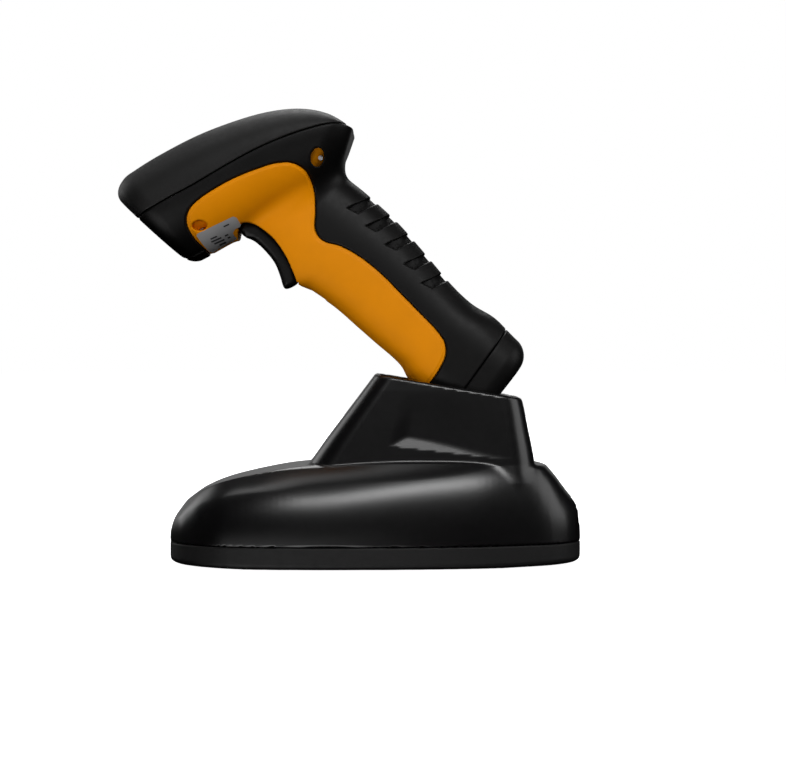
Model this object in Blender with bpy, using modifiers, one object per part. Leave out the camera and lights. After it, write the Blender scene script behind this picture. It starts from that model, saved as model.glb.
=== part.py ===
"""Cordless pistol-grip barcode scanner standing in its charging cradle.

Lengths in this file are millimetres and become metres when a mesh is made. X runs along the
object with the nose at -X, Y is left to right and Z is up, with the cradle's feet on Z = 0.
"""

from math import atan2, cos, degrees, pi, radians, sin

import bmesh
import bpy
import numpy as np
from mathutils import Matrix, Vector

MM = 0.001

# ---- driving dimensions ----
WALL = 2.2  # moulded wall of the scanner's shells
GAP = 0.3  # gap left between neighbouring parts
DOCK = radians(-46.5)  # direction of the handle, seen from the side
ALONG = Vector((cos(DOCK), 0, sin(DOCK)))  # down the handle
ACROSS = Vector((-sin(DOCK), 0, cos(DOCK)))  # from the trigger side to the back of the hand
NOSE_OUT = Vector((-0.690, 0, -0.724))  # the way the window looks
HEAD_UP = Vector((-0.454, 0, 0.891))  # square to the top of the head

TRIGGER_PIVOT = Vector((-46.0, 0, 165.0))
TRIGGER_HALF = 14.0  # half of the trigger's width
PIN_RADIUS = 1.25
PIN_FIT = 0.25  # clearance around a pin

CRADLE_WALL = 2.6
SEAM_Z = 11.0  # where the cradle's two mouldings meet
FOOT_HEIGHT = 1.6

# Head of the scanner: each section is (bottom x z, top x z, height of the widest line, half width).
HEAD = [
    ((-81.5, 149.4), (-106.9, 173.6), 0.52, 23.5),
    ((-77.4, 146.6), (-110.1, 178.2), 0.54, 28.5),
    ((-73.0, 145.2), (-104.2, 187.0), 0.56, 31.5),
    ((-66.2, 147.4), (-91.2, 195.1), 0.60, 33.2),
    ((-56.0, 153.2), (-72.0, 205.0), 0.63, 34.4),
    ((-40.0, 162.5), (-52.8, 212.2), 0.66, 35.0),
    ((-25.0, 170.0), (-36.0, 216.5), 0.69, 35.0),
    ((-12.0, 176.0), (-20.0, 217.0), 0.72, 34.2),
    ((-5.0, 181.0), (-9.5, 214.6), 0.74, 32.4),
    ((-2.0, 186.0), (-3.0, 210.2), 0.74, 29.4),
    ((-0.5, 190.5), (1.0, 205.6), 0.70, 25.0),
    ((-0.2, 194.0), (1.9, 202.6), 0.66, 20.0),
]
# Handle: each section is (front x z, back x z, half width).
HANDLE = [
    ((-54.0, 178.0), (-22.0, 194.0), 13.0),
    ((-61.5, 162.0), (-8.0, 188.4), 18.2),
    ((-51.0, 155.4), (-4.0, 184.6), 18.9),
    ((-40.2, 144.0), (0.2, 181.0), 19.4),
    ((-30.4, 131.4), (12.5, 171.1), 20.0),
    ((-13.6, 126.8), (23.5, 161.3), 20.2),
    ((1.5, 114.8), (36.0, 147.3), 20.4),
    ((15.8, 102.9), (48.5, 133.4), 20.8),
    ((27.5, 91.4), (61.0, 122.6), 21.4),
    ((37.0, 81.6), (69.5, 116.8), 22.0),
    ((45.5, 72.2), (74.8, 111.4), 22.2),
    ((54.3, 63.6), (82.6, 100.2), 20.6),
    ((57.6, 64.0), (81.9, 95.4), 17.6),
]
# The line between the top cover and the body, from nose to back.
SEAM = [(-120, 152.5), (-97, 164.6), (-72.4, 178.6), (-57, 187.6), (-41.7, 195.8), (-26.3, 202.2),
        (-12, 206.8), (-2, 208.4), (12, 208.9)]
# The colour-moulded front housing: side of the belly, then down the front of the handle.
FRONT_HOUSING = [(-64.3, 143.0), (-67.4, 148.6), (-72.7, 154.5), (-75.6, 161.5), (-73.4, 168.4),
                 (-66.0, 174.6), (-54.5, 181.2), (-43.0, 186.0), (-33.0, 189.0), (-25.5, 188.9),
                 (-19.6, 185.2), (-16.6, 178.0), (-15.9, 168.0), (-16.0, 158.6), (-12.0, 153.4),
                 (-4.0, 151.0), (5.0, 146.0), (14.8, 138.2), (24.0, 129.0), (33.4, 119.4),
                 (41.6, 110.8), (45.2, 104.4), (44.2, 96.5), (36.0, 84.0), (26.0, 76.0),
                 (-6.0, 104.0), (-40.0, 130.0)]
CAP_SEAM = [(44.8, 70.8), (75.0, 112.4)]
# Trigger, from its top over the finger side to the tip and back under the housing's edge.
TRIGGER = [(-52.6, 159.4), (-50.6, 156.4), (-45.6, 153.9), (-40.8, 149.6), (-36.2, 143.8),
           (-33.6, 137.6), (-31.8, 132.0), (-29.4, 131.4), (-25.2, 133.8), (-27.6, 141.2),
           (-30.9, 147.9), (-35.6, 154.4), (-41.4, 159.3), (-46.4, 161.9), (-50.6, 161.9)]
# The arm that carries the trigger to its pin, hidden inside the housing.
TRIGGER_ARM = [(-49.8, 156.6), (-50.4, 162.0), (-49.4, 166.4), (-46.0, 168.6), (-42.6, 167.0), (-41.4, 162.4),
               (-39.6, 158.4), (-44.0, 155.0)]
# Grip slots on the back of the handle: lower corner at the front, its length and its width.
SLOTS = [(-1.6, 168.9), (7.3, 160.4), (16.4, 151.7), (25.2, 142.5), (33.6, 133.5)]
SLOT_LENGTH, SLOT_WIDTH, SLOT_DEPTH = 13.2, 3.7, 1.3

# Cradle, station by station: (x, half width, height of the shoulder, height of the top).
CRADLE = [
    (-85.9, 6.0, 13.0, 13.6),
    (-84.6, 14.0, 18.0, 19.2),
    (-80.6, 22.0, 24.8, 26.8),
    (-75.8, 27.6, 29.6, 32.2),
    (-68.6, 33.4, 34.6, 37.2),
    (-56.2, 39.0, 39.4, 42.0),
    (-35.5, 42.4, 43.0, 46.6),
    (-6.0, 43.0, 44.8, 48.6),
    (30.0, 41.4, 45.4, 49.0),
    (60.0, 37.4, 45.4, 48.8),
    (82.0, 31.0, 45.2, 48.2),
    (93.0, 26.0, 44.4, 46.6),
    (98.6, 21.6, 39.8, 41.0),
    (103.4, 15.8, 33.0, 34.0),
    (107.6, 8.6, 26.8, 27.6),
    (110.4, 3.4, 15.4, 15.8),
]
# Neck rings from foot to rim: (front x z, rear x z, half width, corner radius).
NECK = [
    ((-21.5, 42.0), (89.2, 41.0), 29.6, 13.0),
    ((-19.2, 48.2), (87.8, 47.4), 28.6, 12.5),
    ((-4.2, 69.2), (84.6, 64.2), 27.4, 11.5),
    ((9.6, 88.4), (82.0, 77.9), 26.4, 10.5),
    ((11.6, 90.3), (81.3, 79.8), 25.6, 10.0),
]
# Cup inside the neck, from rim to floor.
CUP = [
    ((13.8, 92.0), (79.6, 82.0), 24.4, 9.5),
    ((14.6, 88.8), (79.2, 78.8), 24.2, 9.5),
    ((37.0, 70.6), (69.8, 75.6), 24.0, 7.0),
    ((49.5, 59.8), (59.2, 61.2), 23.6, 4.0),
]

for old in list(bpy.data.objects):
    bpy.data.objects.remove(old, do_unlink=True)
PARTS = bpy.data.collections.new("cordless_barcode_scanner")
CUTTERS = bpy.data.collections.new("cutters")
bpy.context.scene.collection.children.link(PARTS)
bpy.context.scene.collection.children.link(CUTTERS)

# name: (colour, metallic, roughness)
FINISHES = {
    "black_plastic": ((0.022, 0.022, 0.024), 0.0, 0.55),
    "cover_plastic": ((0.030, 0.030, 0.033), 0.0, 0.70),
    "yellow_plastic": ((0.80, 0.36, 0.03), 0.0, 0.45),
    "cradle_plastic": ((0.018, 0.018, 0.020), 0.0, 0.35),
    "base_plastic": ((0.05, 0.05, 0.055), 0.0, 0.70),
    "rubber": ((0.02, 0.02, 0.02), 0.0, 0.85),
    "steel": ((0.55, 0.55, 0.57), 1.0, 0.35),
    "gold_contact": ((0.80, 0.60, 0.25), 1.0, 0.30),
    "board": ((0.03, 0.16, 0.07), 0.0, 0.50),
    "window": ((0.10, 0.02, 0.02), 0.0, 0.10),
    "engine": ((0.06, 0.06, 0.07), 0.3, 0.40),
    "label": ((0.45, 0.46, 0.47), 0.0, 0.50),
    "battery_wrap": ((0.05, 0.18, 0.42), 0.0, 0.45),
    "light_pipe": ((0.75, 0.85, 0.80), 0.0, 0.20),
    "component": ((0.04, 0.04, 0.05), 0.0, 0.60),
}


def material(part, finish):
    """Each part has a material of its own, in one of the finishes above."""
    colour, metallic, roughness = FINISHES[finish]
    made = bpy.data.materials.new(part + "_" + finish)
    made.use_nodes = True
    shader = made.node_tree.nodes["Principled BSDF"]
    shader.inputs["Base Color"].default_value = (*colour, 1)
    shader.inputs["Metallic"].default_value = metallic
    shader.inputs["Roughness"].default_value = roughness
    made.diffuse_color = (*colour, 1)
    return made


def add(name, points, faces, finish=None, origin=(0, 0, 0)):
    """A closed mesh from points in millimetres. Without a finish it is a cutter."""
    mesh = bpy.data.meshes.new(name)
    centre = Vector(origin)
    mesh.from_pydata([(Vector(p) - centre) * MM for p in points], [], faces)
    b = bmesh.new()
    b.from_mesh(mesh)
    bmesh.ops.remove_doubles(b, verts=b.verts, dist=1e-7)
    bmesh.ops.recalc_face_normals(b, faces=b.faces)
    b.to_mesh(mesh)
    b.free()
    obj = bpy.data.objects.new(name, mesh)
    obj.location = centre * MM
    if finish:
        mesh.materials.append(material(name, finish))
        PARTS.objects.link(obj)
    else:
        CUTTERS.objects.link(obj)
        obj.hide_render = True
        obj.display_type = "WIRE"
    return obj


def boolean(obj, operation, *others):
    for other in others:
        step = obj.modifiers.new(operation.lower() + "_" + other.name, "BOOLEAN")
        step.operation = operation
        step.solver = "EXACT"
        step.object = other
    return obj


def bevel(obj, width, segments=1, angle=40):
    step = obj.modifiers.new("edges", "BEVEL")
    step.width = width * MM
    step.segments = segments
    step.limit_method = "ANGLE"
    step.angle_limit = radians(angle)
    return obj


def loft_faces(rings):
    """Faces of rings that follow one another, with a cap at each end."""
    count = len(rings[0])
    points = [p for ring in rings for p in ring]
    faces = [tuple(range(count)), tuple(range(len(points) - count, len(points)))]
    for i in range(len(rings) - 1):
        for j in range(count):
            k = (j + 1) % count
            faces.append((i * count + j, i * count + k, (i + 1) * count + k, (i + 1) * count + j))
    return points, faces


def oval_ring(low, high, widest, half, power, steps, inset=0.0):
    """Superellipse between two points of the side view, widest at a fraction of its height."""
    low, high = Vector((low[0], 0, low[1])), Vector((high[0], 0, high[1]))
    up = (high - low).normalized()
    low, high, half = low + up * inset, high - up * inset, half - inset
    middle = low.lerp(high, widest)
    ring = []
    for j in range(steps):
        a = 2 * pi * (j + 0.5) / steps
        c, s = cos(a), sin(a)
        y = half * abs(c) ** (2 / power) * (1 if c > 0 else -1)
        t = abs(s) ** (2 / power)
        point = middle + ((high if s > 0 else low) - middle) * t
        ring.append(Vector((point.x, y, point.z)))
    return ring


def prism(name, outline, y0, y1, finish=None, origin=(0, 0, 0)):
    """The outline, in x and z, pushed out along Y."""
    rings = [[Vector((x, y, z)) for x, z in outline] for y in (y0, y1)]
    return add(name, *loft_faces(rings), finish, origin)


def grown(outline, by):
    """A closed outline moved outwards by a distance."""
    area = sum(a[0] * b[1] - b[0] * a[1] for a, b in zip(outline, outline[1:] + outline[:1]))
    turn = 1 if area > 0 else -1
    out = []
    for i, here in enumerate(outline):
        before, after = Vector(outline[i - 1]), Vector(outline[(i + 1) % len(outline)])
        a = (Vector(here) - before).normalized()
        b = (after - Vector(here)).normalized()
        normal = Vector((a.y + b.y, -a.x - b.x)) * turn
        normal /= max(0.3, normal.length_squared / 2)
        out.append((here[0] + normal.x * by, here[1] + normal.y * by))
    return out


def smooth(outline, steps=2, closed=True):
    """Catmull-Rom points between those given."""
    out, count = [], len(outline)
    for i in range(count if closed else count - 1):
        if closed:
            p = [Vector(outline[(i + k) % count]) for k in (-1, 0, 1, 2)]
        else:
            p = [Vector(outline[min(max(i + k, 0), count - 1)]) for k in (-1, 0, 1, 2)]
        for s in range(steps):
            t = s / steps
            q = 0.5 * (2 * p[1] + (p[2] - p[0]) * t + (2 * p[0] - 5 * p[1] + 4 * p[2] - p[3]) * t * t
                       + (3 * p[1] - p[0] - 3 * p[2] + p[3]) * t * t * t)
            out.append((q.x, q.y))
    if not closed:
        out.append(tuple(outline[-1]))
    return out


def frame_of(direction, side=Vector((0, 1, 0))):
    """Turns +Z to a direction, keeping the local X as near to side as it can."""
    z = Vector(direction).normalized()
    if abs(z.dot(Vector(side))) > 0.99:
        side = Vector((1, 0, 0))
    x = (Vector(side) - z * Vector(side).dot(z)).normalized()
    return Matrix((x, z.cross(x), z)).transposed()


def rod(name, start, end, radius, finish=None, steps=12, origin=None, top_radius=None):
    """A straight round bar from start to end."""
    start, end = Vector(start), Vector(end)
    turn = frame_of(end - start)
    rings = []
    for centre, r in ((start, radius), (end, top_radius or radius)):
        rings.append([centre + turn @ Vector((r * cos(2 * pi * j / steps), r * sin(2 * pi * j / steps), 0))
                      for j in range(steps)])
    return add(name, *loft_faces(rings), finish, start if origin is None else origin)


def box(name, centre, size, finish=None, turn=None, edge=0.0):
    """A block with its sizes along its own axes, turned about its centre."""
    turn = turn or Matrix.Identity(3)
    half = Vector(size) / 2
    rings = [[Vector(centre) + turn @ Vector((sx * half.x, sy * half.y, sz * half.z))
              for sx, sy in ((-1, -1), (1, -1), (1, 1), (-1, 1))] for sz in (-1, 1)]
    obj = add(name, *loft_faces(rings), finish, centre)
    return bevel(obj, edge) if edge else obj


def rounded_rectangle(x0, x1, half, radius, steps=3):
    """Plan outline with rounded corners, as x and y."""
    out = []
    for cx, cy, start in ((x1 - radius, half - radius, 0), (x0 + radius, half - radius, 90),
                          (x0 + radius, radius - half, 180), (x1 - radius, radius - half, 270)):
        for j in range(steps + 1):
            a = radians(start + 90 * j / steps)
            out.append((cx + radius * cos(a), cy + radius * sin(a)))
    return out


def tilted_ring(front, rear, half, radius, inset=0.0):
    """A rounded rectangle whose two ends sit at different heights."""
    slope = (rear[1] - front[1]) / (rear[0] - front[0])
    plan = rounded_rectangle(front[0] + inset, rear[0] - inset, half - inset, radius - min(inset, radius - 1))
    return [Vector((x, y, front[1] + (x - front[0]) * slope)) for x, y in plan]


def turned(name, profile, base, axis, finish=None, steps=12):
    """A round part from (radius, height) pairs, made with the Screw modifier about its own Z."""
    mesh = bpy.data.meshes.new(name)
    points = [Vector((r * MM, 0, h * MM)) for r, h in profile]
    mesh.from_pydata(points, [(i, i + 1) for i in range(len(points) - 1)], [])
    obj = bpy.data.objects.new(name, mesh)
    mesh.materials.append(material(name, finish))
    obj.matrix_world = Matrix.Translation(Vector(base) * MM) @ frame_of(axis).to_4x4()
    PARTS.objects.link(obj)
    step = obj.modifiers.new("turn", "SCREW")
    step.steps = step.render_steps = steps
    step.use_merge_vertices = True
    step.merge_threshold = 1e-6
    step.use_normal_flip = True
    return obj


def coil(name, start, axis, radius, wire, turns, height, finish, steps=9, sides=5):
    """A helical spring: a ring of wire carried round its axis, with capped ends."""
    turn = frame_of(axis)
    rings = []
    for i in range(int(turns * steps) + 1):
        a = 2 * pi * i / steps
        out = Vector((cos(a), sin(a), 0))
        centre = out * radius + Vector((0, 0, wire + (height - 2 * wire) * i / (turns * steps)))
        rings.append([Vector(start) + turn @ (centre + out * wire * cos(2 * pi * k / sides)
                                              + Vector((0, 0, wire * sin(2 * pi * k / sides))))
                      for k in range(sides)])
    return add(name, *loft_faces(rings), finish, start)


def countersunk(name, base, axis, head, length, finish="steel"):
    """A pan-head screw. Its base is the tip and the axis points to the head."""
    return turned(name, [(0, 0), (head * 0.28, 0.8), (head * 0.28, length), (head, length),
                         (head, length + 1.0), (head * 0.72, length + 1.6), (head * 0.5, length + 1.6),
                         (head * 0.5, length + 0.7), (0, length + 0.7)], base, axis, finish, 10)


# ---- scanner: the two lofts that make its outer form, and the hollow inside ----
HEAD_STEPS, HANDLE_STEPS = 22, 18


def head_rings(inset, first=0, last=None):
    return [oval_ring(low, high, widest, half, 2.35, HEAD_STEPS, inset)
            for low, high, widest, half in HEAD[first:last]]


def handle_rings(inset, first=0, last=None):
    return [oval_ring(front, back, 0.5, half, 2.5, HANDLE_STEPS, inset)
            for front, back, half in HANDLE[first:last]]


def moved(ring, by):
    return [p + by for p in ring]


head_form = add("head_form", *loft_faces(head_rings(0)))
handle_form = add("handle_form", *loft_faces(handle_rings(0)))
inner = head_rings(WALL)
inner[0] = moved(inner[0], -NOSE_OUT * WALL)
inner[1] = moved(inner[1], -NOSE_OUT * WALL * 0.8)
inner[-2] = moved(inner[-2], Vector((-WALL * 0.8, 0, 0)))
inner[-1] = moved(inner[-1], Vector((-WALL, 0, 0)))
head_hollow = add("head_hollow", *loft_faces(inner))
END_IN = Vector((-0.81, 0, 0.586))
inner = handle_rings(WALL, 1)
inner[-2] = moved(inner[-2], END_IN * WALL * 1.1)
inner[-1] = moved(inner[-1], END_IN * WALL * 1.3)
handle_hollow = add("handle_hollow", *loft_faces(inner))
boolean(head_hollow, "UNION", handle_hollow)
groove_floor = add("groove_floor", *loft_faces(handle_rings(SLOT_DEPTH)))


def shell(name, finish):
    obj = add(name, *loft_faces(head_rings(0)), finish)
    return boolean(boolean(obj, "UNION", handle_form), "DIFFERENCE", head_hollow)


FAR = 60
seam = smooth(SEAM, 3, closed=False)
above = prism("above_seam", [(12, 240), (-120, 240)] + [(x, z + GAP / 2) for x, z in seam], -FAR, FAR)
below = prism("above_seam_and_gap", [(12, 240), (-120, 240)] + [(x, z - GAP / 2) for x, z in seam], -FAR, FAR)
yellow_area = smooth(FRONT_HOUSING, 1)
inlay = prism("inlay_area", yellow_area, -FAR, FAR)
inlay_gap = prism("inlay_area_and_gap", grown(yellow_area, GAP), -FAR, FAR)
(ax, az), (bx, bz) = CAP_SEAM
run = Vector((bx - ax, bz - az)).normalized()
normal = Vector((run.y, -run.x))


def cap_area(name, shift):
    start = Vector((ax, az)) - run * 40 + normal * shift
    end = Vector((bx, bz)) + run * 40 + normal * shift
    return prism(name, [tuple(start), tuple(end), tuple(end + normal * 60), tuple(start + normal * 60)],
                 -FAR, FAR)


cap_side = cap_area("cap_area", GAP / 2)
cap_side_gap = cap_area("cap_area_and_gap", -GAP / 2)

trigger_gap = prism("trigger_gap", grown(smooth(TRIGGER, 1), 0.5), -FAR, FAR)
sweep = prism("trigger_sweep", [(-54.5, 150), (-30, 122), (-24.6, 132.2), (-18.4, 138.0), (-24.0, 148.0),
                                (-30.0, 156.0), (-37.0, 166.0), (-42.0, 170.6), (-48.0, 170.8), (-53.8, 166.0)],
              -TRIGGER_HALF - 0.7, TRIGGER_HALF + 0.7)

chin = prism("chin_under_trigger", [(-24.3, 133.0), (-18.0, 130.4), (-12.0, 126.0), (-9.0, 112.0), (-60.0, 112.0),
                                    (-60.0, 134.0), (-32.0, 137.0)], -FAR, FAR)

top_cover = boolean(shell("top_cover", "cover_plastic"), "INTERSECT", above)
front_housing = shell("front_housing", "yellow_plastic")
boolean(front_housing, "INTERSECT", inlay)
boolean(front_housing, "DIFFERENCE", sweep, trigger_gap, chin)
body_shell = shell("body_shell", "black_plastic")
boolean(body_shell, "DIFFERENCE", below, inlay_gap, cap_side_gap, sweep)
end_cap = shell("end_cap", "black_plastic")
boolean(end_cap, "INTERSECT", cap_side)

# Grip slots wrap round the back of the handle, at a slant to it.
slot_turn = radians(27)
points, faces = [], []
for x, z in SLOTS:
    across = Vector((cos(slot_turn), 0, sin(slot_turn)))
    down = Vector((0.71, 0, -0.70))
    corner = Vector((x, 0, z))
    corners = [corner, corner + across * SLOT_LENGTH, corner + across * (SLOT_LENGTH + 1.6) + down * SLOT_WIDTH * 1.5,
               corner + across * 2.2 + down * SLOT_WIDTH * 1.5]
    ring_points, ring_faces = loft_faces([[Vector((p.x, y, p.z)) for p in corners] for y in (-FAR, FAR)])
    faces += [tuple(i + len(points) for i in face) for face in ring_faces]
    points += ring_points
slots = add("grip_slot_cutter", points, faces)
boolean(slots, "DIFFERENCE", groove_floor)
boolean(body_shell, "DIFFERENCE", slots)

# Lanyard opening at the back of the head, with the bar that a strap ties to.
LANYARD = Vector((-14.6, 0, 191.8))
lanyard_hole = prism("lanyard_opening", [(LANYARD.x + 3.1 * cos(a) + 0.6 * sin(a), LANYARD.z + 4.3 * sin(a))
                                         for a in (2 * pi * k / 10 for k in range(10))], -FAR, FAR)
boolean(body_shell, "DIFFERENCE", lanyard_hole)
boolean(front_housing, "DIFFERENCE", lanyard_hole)
rod("lanyard_bar", (-13.2, -27.5, 191.6), (-13.2, 27.5, 191.6), 1.1, "steel", 10)

# Window in the nose, held in a gasket.
nose_turn = frame_of(-NOSE_OUT)
nose_centre = Vector((-94.2, 0, 161.5))


def nose_block(name, width, height, near, far, finish=None, radius=3.0):
    """A plate square to the window, from near to far inside the nose's face."""
    plan = rounded_rectangle(-width / 2, width / 2, height / 2, radius, 2)
    rings = [[nose_centre + nose_turn @ Vector((x, y, d)) for x, y in plan] for d in (near, far)]
    return add(name, *loft_faces(rings), finish, nose_centre)


window_cutter = nose_block("window_cutter", 42.6, 19.6, -4, 12)
boolean(body_shell, "DIFFERENCE", window_cutter)
boolean(top_cover, "DIFFERENCE", window_cutter)
gasket = nose_block("window_gasket", 42.0, 19.0, 0.9, 3.3, "rubber")
boolean(gasket, "DIFFERENCE", nose_block("gasket_bore", 38.6, 15.6, -1, 9, None, 2.4),
        nose_block("gasket_seat", 40.4, 17.4, 1.6, 2.9, None, 2.7))
nose_block("exit_window", 39.9, 16.9, 1.7, 2.8, "window", 2.5)

# Scan engine behind the window, on a bracket.
engine_at = nose_centre - NOSE_OUT * 15.2
box("scan_engine", engine_at, (30, 14, 12.4), "engine", nose_turn, 0.6)
lens = nose_centre - NOSE_OUT * 8.6
turned("engine_lens", [(0, 0), (4.2, 0), (4.2, 3.0), (3.4, 3.6), (2.6, 3.6), (2.2, 2.6), (0, 2.2)],
       lens, NOSE_OUT, "engine", 14)
box("engine_bracket", engine_at - NOSE_OUT * 7.4, (34, 16, 1.6), "steel", nose_turn)

# Electronics under the top cover.
board_turn = Matrix(((cos(radians(27)), 0, -sin(radians(27))), (0, 1, 0), (sin(radians(27)), 0, cos(radians(27)))))
board_at = Vector((-42, 0, 197.0))
box("main_board", board_at, (58, 40, 1.6), "board", board_turn)
box("processor_shield", board_at + HEAD_UP * 2.6, (20, 18, 3.0), "steel", board_turn, 0.4)
turned("beeper", [(0, 0), (4.8, 0), (4.8, 4.6), (1.0, 4.6), (1.0, 4.2), (0, 4.2)],
       board_at + Vector((17.0, -8, 9.9)), HEAD_UP, "component", 14)
pipe_at = Vector((-20.5, 0, 211.2))
pipe_hole = rod("light_pipe_cutter", pipe_at, pipe_at + Vector((0, 0, 12)), 2.1, None, 12)
boolean(top_cover, "DIFFERENCE", pipe_hole)
rod("status_light_pipe", pipe_at, pipe_at + Vector((0, 0, 5.4)), 1.8, "light_pipe", 12)

# Trigger with its pin, spring and switch.
trigger = prism("trigger", smooth(TRIGGER, 2), -TRIGGER_HALF, TRIGGER_HALF, "black_plastic", TRIGGER_PIVOT)
bevel(trigger, 1.8, 2, 50)
boolean(trigger, "UNION", prism("trigger_arm", TRIGGER_ARM, -TRIGGER_HALF + 1.5, TRIGGER_HALF - 1.5))
boolean(trigger, "DIFFERENCE", rod("trigger_bore", TRIGGER_PIVOT - Vector((0, 30, 0)),
                                   TRIGGER_PIVOT + Vector((0, 30, 0)), PIN_RADIUS + PIN_FIT, None, 12))
rod("trigger_pin", TRIGGER_PIVOT - Vector((0, 14.7, 0)), TRIGGER_PIVOT + Vector((0, 14.7, 0)),
    PIN_RADIUS, "steel", 12)
PRESS = Vector((0.726, 0, 0.687))  # the way the trigger's back moves where it meets the switch
press_turn = frame_of(PRESS)
plunger_at = Vector((-30.2, 0, 148.0))
rod("switch_plunger", plunger_at, plunger_at + PRESS * 3.6, 1.3, "component", 10)
box("trigger_switch", plunger_at + PRESS * 5.2, (6.2, 6.2, 5.2), "component", press_turn, 0.4)
boolean(bpy.data.objects["trigger_switch"], "DIFFERENCE",
        rod("plunger_bore", plunger_at, plunger_at + PRESS * 6.4, 1.6, None, 10))
box("trigger_board", plunger_at + PRESS * 9.0 + Vector((0, 0, 0)), (26, 17, 1.4), "board", press_turn)
coil("trigger_spring", Vector((-26.5, 8.6, 143.6)), PRESS, 2.0, 0.35, 4, 8.2, "steel")

# Battery and its contacts in the handle, then the end cap's charging contacts.
cell_start = Vector((6.4, 0, 146.0))
turned("battery_cell", [(0, 0), (8.9, 0), (8.9, 56), (3.0, 56), (3.0, 57.2), (0, 57.2)],
       cell_start, ALONG, "battery_wrap", 16)
carrier = rod("battery_carrier", cell_start - ALONG * 4.0, cell_start + ALONG * 60.5, 11.0, "component", 16)
boolean(carrier, "DIFFERENCE", rod("cell_space", cell_start - ALONG * 2.6, cell_start + ALONG * 59.1, 9.3, None, 16),
        box("carrier_opening", cell_start + ALONG * 28 + ACROSS * 11.0, (40, 80, 22), None,
            frame_of(ACROSS, ALONG.cross(ACROSS))))
coil("battery_spring", cell_start - ALONG * 0.15, -ALONG, 3.4, 0.35, 2, 2.2, "steel")
box("battery_contact_plate", cell_start + ALONG * 58.2, (9, 9, 0.6), "steel", frame_of(ALONG))
END_OUT = -END_IN
pads = []
for side, name in ((-1, "charge_pad_left"), (1, "charge_pad_right")):
    pad_at = Vector((63.6, side * 7.0, 71.8))
    pads.append(pad_at)
    boolean(end_cap, "DIFFERENCE", rod(name + "_cutter", pad_at - END_OUT * 8, pad_at + END_OUT * 6, 2.9, None, 12))
    rod(name, pad_at - END_OUT * 3.0, pad_at - END_OUT * 0.3, 2.6, "gold_contact", 12)

# Label round the belly, just clear of it.
label_area = [(-71.0, 155.4), (-52.6, 164.4), (-53.6, 158.0), (-56.0, 150.0), (-64.4, 141.0), (-70.5, 148.0)]
label_out = [oval_ring(low, high, widest, half, 2.35, HEAD_STEPS, -0.55)
             for low, high, widest, half in HEAD[2:6]]
label_in = [oval_ring(low, high, widest, half, 2.35, HEAD_STEPS, -0.20)
            for low, high, widest, half in HEAD[2:6]]
label_in[0] = moved(label_in[0], Vector((-4, 0, -2)))
label_in[-1] = moved(label_in[-1], Vector((4, 0, 2)))
label = add("rating_label", *loft_faces(label_out), "label")
boolean(label, "DIFFERENCE", add("label_core", *loft_faces(label_in)))
boolean(label, "INTERSECT", prism("label_area", label_area, -FAR, FAR))
boolean(label, "DIFFERENCE", prism("label_clear_of_trigger", grown(smooth(TRIGGER, 1), 0.8), -FAR, FAR))

# Housing screws in their recesses, left and right, and one in the end cap.
for side, name in ((-1, "housing_screw_left"), (1, "housing_screw_right")):
    hole_at = Vector((-69.8, side * 20.0, 160.2))
    boolean(front_housing, "DIFFERENCE",
            rod(name + "_hole", hole_at, hole_at + Vector((0, side * 25, 0)), 3.1, None, 12))
    countersunk(name, Vector((-69.8, side * 12.0, 160.2)), (0, side, 0), 2.6, 8.0)

# ---- cradle ----
SECTION = [(1.0, 0.0), (0.996, 0.22), (0.975, 0.46), (0.93, 0.68), (0.86, 0.87), (0.775, 1.0)]


def cradle_rings(inset=0.0, low=SEAM_Z):
    """Rings across the cradle's upper moulding, from its seam over the shoulder and the flat top."""
    rings = []
    stations = CRADLE if not inset else CRADLE[2:-2]
    for i, (x, half, shoulder, top) in enumerate(stations):
        half, shoulder, top = half - inset, shoulder - inset, top - inset
        side = [(half * w, low + (shoulder - low) * h) for w, h in SECTION]
        ledge = half * 0.62
        ring = side + [(ledge, top)]
        ring += [(-y, z) for y, z in reversed(ring)]
        rings.append([Vector((x, y, z)) for y, z in ring])
    return rings


def base_rings(inset, low, high):
    """Plan of the lower moulding at each height, front to back and round again."""
    rings = []
    for z, extra in ((low, 1.6), (low + 1.4, 0.3), (low + 3.0, 0.0), (high, 0.0)):
        plan = [(x, half) for x, half, _, _ in CRADLE]
        ring = [(x + (extra + inset if i < 2 else -extra - inset if i > len(plan) - 3 else 0),
                 max(half - extra - inset, 1.0)) for i, (x, half) in enumerate(plan)]
        ring += [(x, -y) for x, y in reversed(ring)]
        rings.append([Vector((x, y, z)) for x, y in ring])
    return rings


neck_rings = [tilted_ring(*ring) for ring in NECK]
neck_form = add("neck_form", *loft_faces(neck_rings))
neck_hollow = add("neck_hollow", *loft_faces([tilted_ring(*ring, CRADLE_WALL) for ring in
                                              [((-22.5, 38.0), (89.6, 37.0), 29.8, 13.0)] + NECK[1:3]
                                              + [((4.0, 80.0), (82.6, 72.0), 26.8, 11.0)]]))
cup_space = add("cup_space", *loft_faces([tilted_ring(*ring) for ring in CUP]))
cup_form = add("cup_form", *loft_faces([tilted_ring(f, r, h + 2.2, c + 1.5) for f, r, h, c in
                                        (((10.4, 88.0), (82.4, 78.0), 24.2, 9.5),
                                         ((35.2, 68.6), (72.0, 74.2), 24.0, 7.0),
                                         ((47.8, 57.2), (61.6, 59.0), 23.6, 4.0))]))
upper_hollow = add("upper_hollow", *loft_faces(cradle_rings(CRADLE_WALL, SEAM_Z - 3)))
boolean(upper_hollow, "UNION", neck_hollow)
boolean(upper_hollow, "DIFFERENCE", cup_form)
cradle_top = add("cradle_top", *loft_faces(cradle_rings(0, SEAM_Z + GAP / 2)), "cradle_plastic")
boolean(cradle_top, "UNION", neck_form)
boolean(cradle_top, "DIFFERENCE", upper_hollow, cup_space)

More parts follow.
